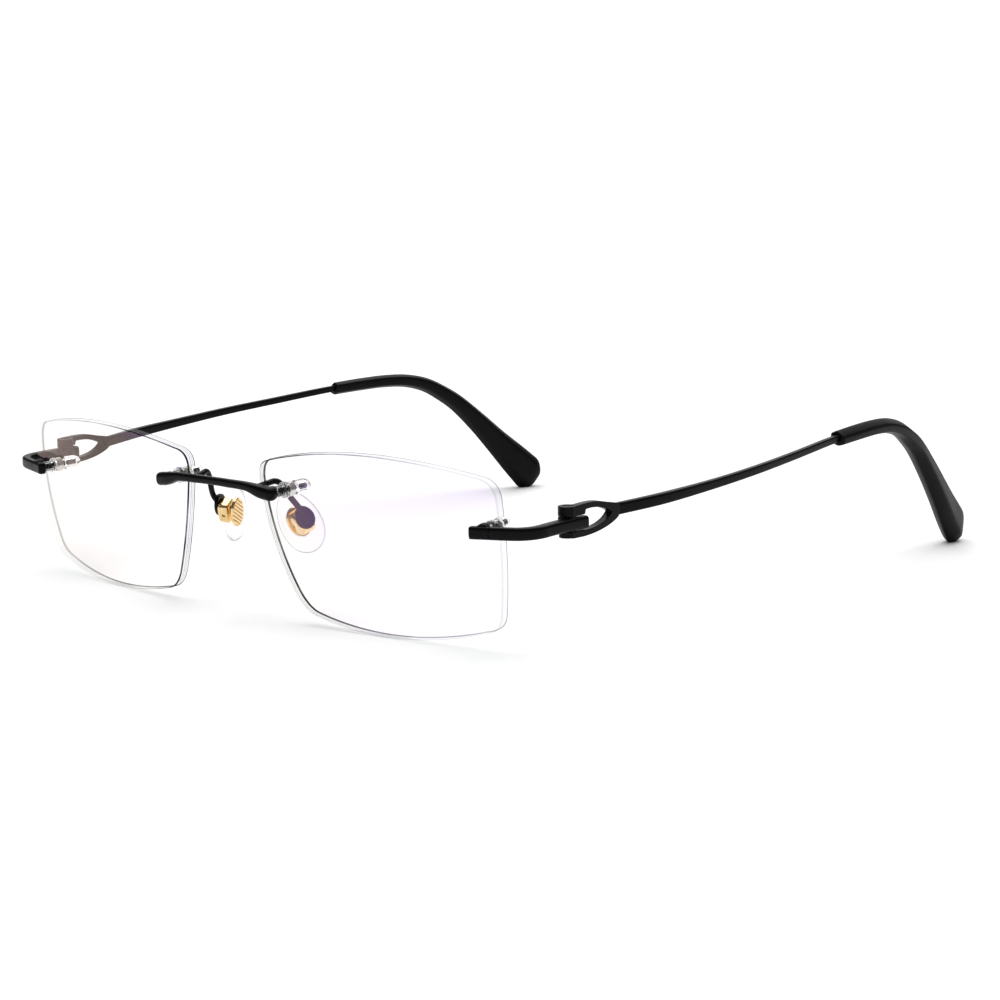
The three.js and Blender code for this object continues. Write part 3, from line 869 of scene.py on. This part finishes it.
def add_clamp(place, hole):
    """One clamp through a lens: stud, flanged bushing, washer, lock nut and end cap."""
    hole_frame = lens_placement() @ hole_placement(hole)
    washer_start = LENS_THICKNESS + SEAT_GAP + FLANGE_THICKNESS + GAP
    nut_start = washer_start + WASHER_THICKNESS + GAP
    cap_start = nut_start + NUT_THICKNESS + CAP_STAND_OFF
    stud_end = cap_start + CAP_LENGTH - 1
    stud = threaded_rod(GAP, stud_end)

    def along(obj, distance):
        return moved(obj, hole_frame @ Matrix.Translation((0, distance, 0)))

    put_pair(along(stud, 0), f"{place}_stud", "front", "black_metal", BLACK_METAL, sharp=60)
    put_pair(along(bushing(), 0), f"{place}_bushing", "front", "clear_plastic", CLEAR_PLASTIC)
    put_pair(along(washer(), washer_start), f"{place}_washer", "front", "clear_plastic", CLEAR_PLASTIC)
    put_pair(along(lock_nut(), nut_start), f"{place}_nut", "front", "steel", STEEL, sharp=20)
    put_pair(along(end_cap(), cap_start), f"{place}_cap", "front", "clear_plastic", CLEAR_PLASTIC)


def boss(hole, radius, length):
    """The round boss that carries a stud and sits on the front of the lens."""
    profile = [(0, -length), (radius, -length), (radius, -SEAT_GAP), (0, -SEAT_GAP)]
    return moved(turned("boss", profile), lens_placement() @ hole_placement(hole))


# ---------------------------------------------------------------- bridge and endpieces


def bridge():
    """Club-ended bar that bows gently forwards and upwards between the lenses."""
    half = [
        (15.1, -2.55, 23.9, 1.25, 1.26),
        (12.9, -2.9, 24.2, 1.12, 1.2),
        (9.6, -3.25, 24.85, 0.86, 0.84),
        (4.5, -3.45, 25.0, 0.77, 0.78),
    ]
    middle = (0, -3.5, 25.05, 0.75, 0.75)
    other = [(-x, *rest) for x, *rest in reversed(half)]
    stations = [*half, middle, *other]
    section = super_ellipse(2.8, 40)
    bar = lofted("bridge", stations, 120, lambda t: section, start_dome=1.1, end_dome=1.1)
    left_boss = boss(NASAL_HOLE, 1.2, 1.8)
    return cast("bridge", bar, copied(left_boss, MIRROR), left_boss)


def screw_drill(radius, low, high):
    """A drill on the hinge axis, a running gap wider than the screw."""
    return upright("drill", radius + RUNNING_GAP, (low, high), 48)


def seam_cutter(section, place):
    """Cuts a shallow groove round the endpiece's plate."""
    width, depth = 0.2, 0.14
    half_thickness, half_height = PLATE_HALF_THICKNESS - depth, BAR_HALF_HEIGHT - depth
    core_rings = [[(x, u * half_thickness, v * half_height) for u, v in section] for x in (-width, width)]
    seam = carved(block("seam", (width, 6, 6), (0, 0, 0)), skinned("core", core_rings))
    return moved(seam, Matrix.Translation(place) @ Matrix.Rotation(PLATE_ANGLE, 4, "Z"))


def endpiece():
    """Square bar from the lens front round the corner to the hinge, with the hinge's middle knuckle."""
    start_x, start_y = PLATE_START
    meet_y = start_y + (SIDE_CENTRE_X - start_x) * math.tan(PLATE_ANGLE)
    turn_x = SIDE_CENTRE_X - CORNER_RADIUS
    turn_y = meet_y + CORNER_RADIUS * math.tan((math.pi / 2 - PLATE_ANGLE) / 2)

    def on_plate(distance, height):
        x = start_x + distance * math.cos(PLATE_ANGLE)
        y = start_y + distance * math.sin(PLATE_ANGLE)
        return (x, y, height, PLATE_HALF_THICKNESS, BAR_HALF_HEIGHT)

    def on_corner(share):
        angle = PLATE_ANGLE + share * (math.pi / 2 - PLATE_ANGLE)
        x = turn_x + CORNER_RADIUS * math.sin(angle)
        y = turn_y - CORNER_RADIUS * math.cos(angle)
        half_thickness = PLATE_HALF_THICKNESS + (BAR_HALF_THICKNESS - PLATE_HALF_THICKNESS) * share
        return (x, y, 21.35 + 0.3 * share, half_thickness, BAR_HALF_HEIGHT)

    def on_side(y, height):
        return (SIDE_CENTRE_X, y, height, BAR_HALF_THICKNESS, BAR_HALF_HEIGHT)

    plate_end = on_plate(3.8, 21.2)
    stations = [on_plate(0.15, 21.1), plate_end]
    stations += [on_corner(share) for share in (0.05, 0.35, 0.65, 0.95)]
    stations += [on_side(turn_y + 1.4, 21.72), on_side(HINGE[1] - 3, 21.85), on_side(HINGE[1] + 1, 21.93)]
    stations += [on_side(BAR_END_Y - 0.15, 21.95)]
    section = super_ellipse(4.2, 48)
    bar = lofted("endpiece", stations, 110, lambda t: section, start_dome=0.25, end_dome=0.2, dome_rings=4)
    knuckle = upright("knuckle", KNUCKLE_RADIUS, KNUCKLE_SPAN)
    lug = boss((TEMPLE_HOLE[0], TEMPLE_HOLE[1] + 0.5), 1.3, 1.3)
    whole = cast("endpiece", bar, knuckle, lug)
    seam = seam_cutter(section, plate_end[:3])
    return carved(whole, screw_drill(SCREW_RADIUS, SCREW_BOTTOM, BARREL_SPAN[1]), seam)


# ---------------------------------------------------------------- hinges and temples


def fork_outline():
    """Side view in Y and Z: two arms that meet in a teardrop, open towards the front."""
    front = 15.2
    barrel_top, lower_top = BARREL_SPAN[1], LOWER_KNUCKLE_SPAN[1]
    bottom = LOWER_KNUCKLE_SPAN[0]
    outline = [(front, barrel_top)]
    outline += bezier([(front, barrel_top), (17.5, 25.1), (20.2, 25.5), (22.8, 25.0)], 16)
    outline += bezier([(22.8, 25.0), (25.2, 24.45), (FORK_END_Y, 24.2)], 8)
    outline += bezier([(FORK_END_Y, 24.2), (FORK_END_Y + 0.75, 23.2), (FORK_END_Y, 21.85)], 10)
    outline += bezier([(FORK_END_Y, 21.85), (25.0, 20.5), (21.2, 19.65), (17.5, bottom)], 16)
    outline += [(front, bottom), (front, lower_top), (18.4, lower_top)]
    outline += bezier([(18.4, lower_top), (21.4, 20.75), (24.0, 21.35), (25.3, 22.95)], 16)
    outline += bezier([(25.3, 22.95), (23.9, 23.7), (21.6, 24.5), (18.6, 24.15)], 16)
    return outline + [(18.4, 23.35), (front, 23.35)]


def fork():
    """Flat fork with the hinge's upper barrel and lower knuckle."""
    outline = fork_outline()
    count = len(outline)
    planes = (FORK_INNER_X, FORK_INNER_X + FORK_THICKNESS)
    vertices = [(x, y, z) for x in planes for y, z in outline]
    walls = [(i, (i + 1) % count, count + (i + 1) % count, count + i) for i in range(count)]
    plate = mesh_object("fork", vertices, [tuple(range(count)), tuple(range(count, 2 * count)), *walls])
    barrel = upright("barrel", KNUCKLE_RADIUS, BARREL_SPAN)
    lower_knuckle = upright("lower_knuckle", 1.5, LOWER_KNUCKLE_SPAN)
    whole = cast("fork", modified(plate, "TRIANGULATE"), barrel, lower_knuckle, grain=0.07, rounds=5)
    under_head = BARREL_SPAN[1] - SCREW_HEAD_HEIGHT - 0.05
    head_seat = screw_drill(SCREW_HEAD_RADIUS, under_head, BARREL_SPAN[1] + 1)
    shank_hole = screw_drill(SCREW_RADIUS, SCREW_BOTTOM - 0.05, under_head + 0.1)
    wire_seat = moved(temple_wire(), Matrix.Translation((0, -GAP, 0)))
    return carved(whole, head_seat, shank_hole, wire_seat)


def hinge_screw():
    """Slotted screw with a slightly domed head."""
    top = BARREL_SPAN[1] - 0.03
    under_head = BARREL_SPAN[1] - SCREW_HEAD_HEIGHT
    profile = [
        (0, SCREW_BOTTOM),
        (SCREW_RADIUS, SCREW_BOTTOM),
        (SCREW_RADIUS, under_head),
        (SCREW_HEAD_RADIUS, under_head),
        (SCREW_HEAD_RADIUS, top - 0.12),
        (SCREW_HEAD_RADIUS * 0.75, top - 0.02),
        (0, top),
    ]
    screw = moved(turned("screw", profile), Matrix.Rotation(math.pi / 2, 4, "X"))
    slot_cut = block("slot", (3, 0.28, 0.4), (0, 0, BARREL_SPAN[1]))
    return moved(softened(carved(screw, slot_cut), 0.03, 2), Matrix.Translation((*HINGE, 0)))


# Centre line of a temple from the fork to the end of its tip: x, y, z, half width, half height.
WIRE_STATIONS = [
    (70.2, 27.22, 23.05, 0.6, 1.05),
    (72.1, 37, 23.8, 0.8, 1.0),
    (72.95, 50, 24.8, 0.67, 0.86),
    (72.9, 62, 25.8, 0.64, 0.78),
    (71.8, 75, 26.85, 0.64, 0.72),
    (70.1, 90, 28.1, 0.62, 0.68),
    (69.2, 98, 28.5, 0.6, 0.62),
    (68.2, 106, 28.7, 0.55, 0.55),
]
TIP_STATIONS = [
    (69.9, 91.9, 28.19, 1.5, 1.42),
    (69.2, 98, 28.5, 1.6, 1.45),
    (68.2, 106, 28.7, 1.65, 1.45),
    (67.3, 112, 28.3, 1.7, 1.5),
    (66.4, 117.5, 26.9, 1.75, 1.65),
    (65.6, 122, 24.6, 1.8, 1.85),
    (64.8, 126, 22.0, 1.85, 2.05),
    (63.6, 132, 16.8, 1.9, 2.5),
    (62.5, 137.5, 11.5, 1.95, 3.1),
    (61.4, 142.4, 6.8, 2.0, 3.85),
    (60.75, 145.7, 3.7, 2.0, 4.25),
]


def temple_wire():
    section = super_ellipse(5, 32)
    wire = lofted("wire", WIRE_STATIONS, 160, lambda t: section)
    return softened(wire, 0.12, 2, 50)


def tip_section(t):
    """Round inside; outside, a flat face between two soft ridges that drift backwards along the tip."""
    along = min(max((t - 0.35) / 0.25, 0), 1)
    swept = along * along * (3 - 2 * along)
    corners = [
        (-0.95, 0.6),
        (-0.95, -0.6),
        (0.05, -1),
        (1, -0.75 + 0.4 * swept),
        (1 - 0.5 * swept, 0.2 + 0.65 * swept),
        (-0.1, 1),
    ]
    return rounded_polygon(corners)


def temple_tip():
    """Moulded tip with a blind socket for the wire and a small flat where it stands."""
    rounding = {"start_dome": 0.35, "end_dome": 3.4, "dome_rings": 16, "bluntness": 1.6}
    tip = lofted("tip", TIP_STATIONS, 150, tip_section, **rounding)
    clearance = 0.1
    square = super_ellipse(4, 16)
    bore = [(x, y, z, w + clearance, h + clearance) for x, y, z, w, h in WIRE_STATIONS[-4:]]
    socket = lofted("socket", bore, 40, lambda t: square, end_dome=0.6, dome_rings=2)
    floor = block("floor", (30, 40, 10), (60, 145, -5))
    return carved(tip, socket, floor)


# ---------------------------------------------------------------- nose pads


def pad_placement():
    """The pad frame: +X across the pad, +Y up its length, +Z towards the nose."""
    up = -PAD_ALONG
    across = up.cross(PAD_FACING).normalized()
    return frame_matrix(across, up, across.cross(up), PAD_CENTRE)


def nose_pad():
    """Soft teardrop pad with a crowned front and a pocket behind for its metal insert."""
    outline = drop_outline(PAD_HALF_WIDTH, PAD_HALF_LENGTH, 96, 0.12)
    rim = [(0, 0.87), (0.04, 0.905), (0.18, 0.963), (0.36, 0.99), (0.55, 1.0), (0.85, 0.985)]
    layers = [(PAD_BACK + height, scale) for height, scale in rim]
    crown_start, crown_scale = layers[-1]
    crown = PAD_BACK + PAD_THICKNESS - crown_start
    steps = 14
    for step in range(1, steps):
        angle = step / steps * math.pi / 2
        layers.append((crown_start + crown * math.sin(angle), crown_scale * math.cos(angle) ** 0.7))
    body = layered("pad", outline, layers)
    body.data.materials.append(SILICONE)
    body.data.materials.append(SILICONE_RIM)
    for face in body.data.polygons:
        face.material_index = 1 if abs(face.normal.z) < 0.5 else 0
    pocket_outline = drop_outline(INSERT_HALF_WIDTH + 0.12, INSERT_HALF_LENGTH + 0.12, 64, 0)
    pocket_end = INSERT_BACK + INSERT_THICKNESS + 0.1
    return carved(body, layered("pocket", pocket_outline, [(PAD_BACK - 1, 1), (pocket_end, 1)]))


def pad_screw_hole():
    """A drill straight across the box and the lug inside it."""
    radius = PAD_SCREW_RADIUS + RUNNING_GAP
    drill = turned("hole", [(0, -3), (radius, -3), (radius, 3), (0, 3)], 32)
    return moved(drill, Matrix.Rotation(math.pi / 2, 4, "Z"))


def pad_insert():
    """Oval metal core of the pad, stamped with slanting grooves, with the lug that the pad screw holds."""
    outline = drop_outline(INSERT_HALF_WIDTH, INSERT_HALF_LENGTH, 64, 0)
    back = INSERT_BACK
    front = back + INSERT_THICKNESS
    edge = 0.1
    plate = layered("insert", outline, [(back, 0.96), (back + edge, 1), (front - edge, 1), (front, 0.96)])
    grooves = []
    spacing = 0.62
    for i in range(-4, 5):
        groove = block("groove", (0.26, 9, 0.5), (i * spacing, 0, front + 0.08))
        grooves.append(moved(groove, Matrix.Rotation(math.radians(-38), 4, "Z")))
    plate.data.materials.append(GOLD)
    # The groove floors get gold painted darker as shade.
    engraved(plate, GOLD_GROOVE_SHADE, *grooves)
    lug_length = INSERT_BACK + 0.7
    lug = softened(block("lug", (0.8, 1.3, lug_length), (0, 0, lug_length / 2 - 0.45)), 0.12)
    carved(plate, lug, operation="UNION")
    return carved(plate, pad_screw_hole())


def pad_box():
    """Small plated box behind the pad, slotted for the lug and drilled for the screw."""
    outline = [(x * BOX_HALF_WIDTH, y * BOX_HALF_LENGTH) for x, y in super_ellipse(4, 64)]
    layers = [(BOX_BACK, 0.88), (BOX_BACK + 0.08, 0.95), (BOX_BACK + 0.25, 1)]
    layers += [(BOX_FRONT - 0.25, 1), (BOX_FRONT - 0.08, 0.95), (BOX_FRONT, 0.88)]
    box = layered("box", outline, layers)
    slot_cut = block("slot", (1.1, 2.4, 2), (0, 0, 0.1))
    return carved(box, slot_cut, pad_screw_hole())


def pad_screw():
    """Small slotted screw through the box, with a chamfered round head."""
    start, end = PAD_SCREW_HEAD_SPAN
    chamfer = 0.12
    shank = [(0, PAD_SCREW_TAIL), (PAD_SCREW_RADIUS, PAD_SCREW_TAIL), (PAD_SCREW_RADIUS, start)]
    head = [(PAD_SCREW_HEAD_RADIUS, start), (PAD_SCREW_HEAD_RADIUS, end - chamfer)]
    head += [(PAD_SCREW_HEAD_RADIUS - chamfer, end), (0, end)]
    screw = moved(turned("pad_screw", shank + head, 32), Matrix.Rotation(math.pi / 2, 4, "Z"))
    return softened(carved(screw, block("slot", (0.3, 0.2, 3), (-end, 0, 0))), 0.03, 2)


def pad_arm():
    """Bent wire arm from the bridge to the oval cup behind the pad box."""
    cup_front = BOX_BACK - GAP
    across, up = CUP_OFFSET
    wire_end = pad_placement() @ Vector((across, 1.3, cup_front - 0.75))
    bends = [(8.9, -2.55, 24.4), (8.95, -0.2, 24.4), (9.2, 1.8, 24.75), (9.75, 3.5, 25.0)]
    bends += [(10.4, 4.7, 24.0), (11.1, 5.6, 22.0), (12.0, 6.9, 19.9), tuple(wire_end)]
    section = super_ellipse(2, 24)
    stations = [(*bend, ARM_RADIUS, ARM_RADIUS) for bend in bends]
    wire = lofted("arm", stations, 120, lambda t: section)
    cup_outline = drop_outline(CUP_HALF_WIDTH, CUP_HALF_LENGTH, 64, 0.08)
    back = cup_front - CUP_THICKNESS
    cup = layered("cup", cup_outline, [(back, 0.8), (back + 0.1, 0.9), (back + 0.3, 0.98), (cup_front, 1)])
    moved(cup, pad_placement() @ Matrix.Translation((across, up, 0)))
    return cast("arm", wire, cup, grain=0.06, rounds=4)


# ---------------------------------------------------------------- assembly

put_pair(lens(), "lens", "front", "lens", *LENS_MATERIALS, sharp=25)
add_clamp("nasal", NASAL_HOLE)
add_clamp("temporal", TEMPLE_HOLE)
put(bridge(), "bridge", "front", "black_metal", BLACK_METAL)
put_pair(endpiece(), "endpiece", "front", "black_metal", BLACK_METAL)
put_pair(fork(), "temple_fork", "temple_", "black_metal", BLACK_METAL)
put_pair(hinge_screw(), "hinge_screw", "temple_", "black_metal", BLACK_METAL)
put_pair(temple_wire(), "temple_wire", "temple_", "black_metal", BLACK_METAL)
put_pair(temple_tip(), "temple_tip", "temple_", "black_plastic", BLACK_PLASTIC)
pad_pieces = (nose_pad(), pad_insert(), pad_box(), pad_screw())
pad, insert, box, screw = (moved(piece, pad_placement()) for piece in pad_pieces)
put_pair(pad, "nose_pad", "nose_pad_body_", "silicone", SILICONE, SILICONE_RIM)
put_pair(insert, "pad_insert", "nose_pad_body_", "gold", GOLD, GOLD_GROOVE_SHADE)
put_pair(box, "pad_box", "front", "gold", GOLD)
put_pair(screw, "pad_screw", "front", "gold", GOLD)
put_pair(pad_arm(), "pad_arm", "front", "black_metal", BLACK_METAL)

# ---------------------------------------------------------------- studio


def add_floor():
    """A plain pale table top, with a trace of unevenness in its finish."""
    material, tree = new_material("floor")
    place = place_of(tree)
    tone = mixed(tree, noise(tree, place, 30.0, 3.0), (0.87, 0.87, 0.87), (0.9, 0.9, 0.9))
    output(tree, principled(tree, Base_Color=tone, Roughness=0.9, Specular_IOR_Level=0.1))
    half = 3.0
    corners = [(-half, -half, 0), (half, -half, 0), (half, half, 0), (-half, half, 0)]
    floor = mesh_object("floor", corners, [(0, 1, 2, 3)])
    floor.data.materials.append(material)


def add_world():
    """White to the eye and through glass, softer as light, and dim in reflections."""
    world = bpy.data.worlds.new("studio")
    bpy.context.scene.world = world
    world.use_nodes = True
    tree = world.node_tree
    tree.nodes.clear()
    path = tree.nodes.new("ShaderNodeLightPath")
    seen = tree.nodes.new("ShaderNodeMath")
    seen.operation = "MAXIMUM"
    tree.links.new(path.outputs["Is Camera Ray"], seen.inputs[0])
    tree.links.new(path.outputs["Is Transmission Ray"], seen.inputs[1])
    strength = ramp(tree, path.outputs["Is Glossy Ray"], 0.0, 1.0, 0.42, 0.1)
    as_light = node(tree, "ShaderNodeBackground", Color=(0.97, 0.98, 1, 1), Strength=strength)
    as_seen = node(tree, "ShaderNodeBackground", Color=(1, 1, 1, 1), Strength=1.1)
    shaders = {"i1": as_light.outputs[0], "i2": as_seen.outputs[0]}
    mix = node(tree, "ShaderNodeMixShader", Fac=seen.outputs[0], **shaders)
    node(tree, "ShaderNodeOutputWorld", Surface=mix.outputs[0])


def aimed(obj, position, target):
    direction = Vector(target) - Vector(position)
    obj.matrix_world = Matrix.Translation(position) @ direction.to_track_quat("-Z", "Y").to_matrix().to_4x4()


def add_panel(name, position, size, watts):
    """A large soft light panel, out of the camera's sight."""
    light = bpy.data.lights.new(name, "AREA")
    light.shape = "RECTANGLE"
    light.size, light.size_y = size
    light.energy = watts
    panel = shown(name, light)
    panel.visible_camera = False
    panel.visible_transmission = False
    aimed(panel, position, (0, 0, 0.01))


def add_overhead():
    """Broad overhead light that keeps the floor evenly white out to the horizon."""
    light = bpy.data.lights.new("overhead", "SUN")
    light.energy = 2.85
    light.angle = math.radians(70)
    aimed(shown("overhead", light), (-0.2, 0.25, 1.0), (0, 0, 0))


def add_camera():
    """In front of the glasses, a little above them and to the wearer's left."""
    azimuth, elevation, roll = (math.radians(value) for value in (43.51, 9.08, -0.84))
    distance, slide_right, slide_up = 457.13, 49.54, 20.76
    back = Vector(
        (
            math.sin(azimuth) * math.cos(elevation),
            -math.cos(azimuth) * math.cos(elevation),
            math.sin(elevation),
        )
    )
    level_right = Vector((math.cos(azimuth), math.sin(azimuth), 0))
    level_up = back.cross(level_right)
    right = math.cos(roll) * level_right + math.sin(roll) * level_up
    up = -math.sin(roll) * level_right + math.cos(roll) * level_up
    camera = bpy.data.cameras.new("camera")
    camera.sensor_width = 36.0
    camera.lens = 89.58
    camera.clip_start = 0.01
    obj = shown("camera", camera)
    position = (back * distance + right * slide_right + up * slide_up) * MM + Vector((0, DEPTH_OFFSET, 0))
    obj.matrix_world = frame_matrix(right, up, back, position)
    bpy.context.scene.camera = obj


add_floor()
add_world()
add_overhead()
add_panel("back_panel", (-0.9, 1.1, 0.55), (1.4, 0.7), 3)
add_camera()
bpy.context.scene.view_settings.view_transform = "Standard"
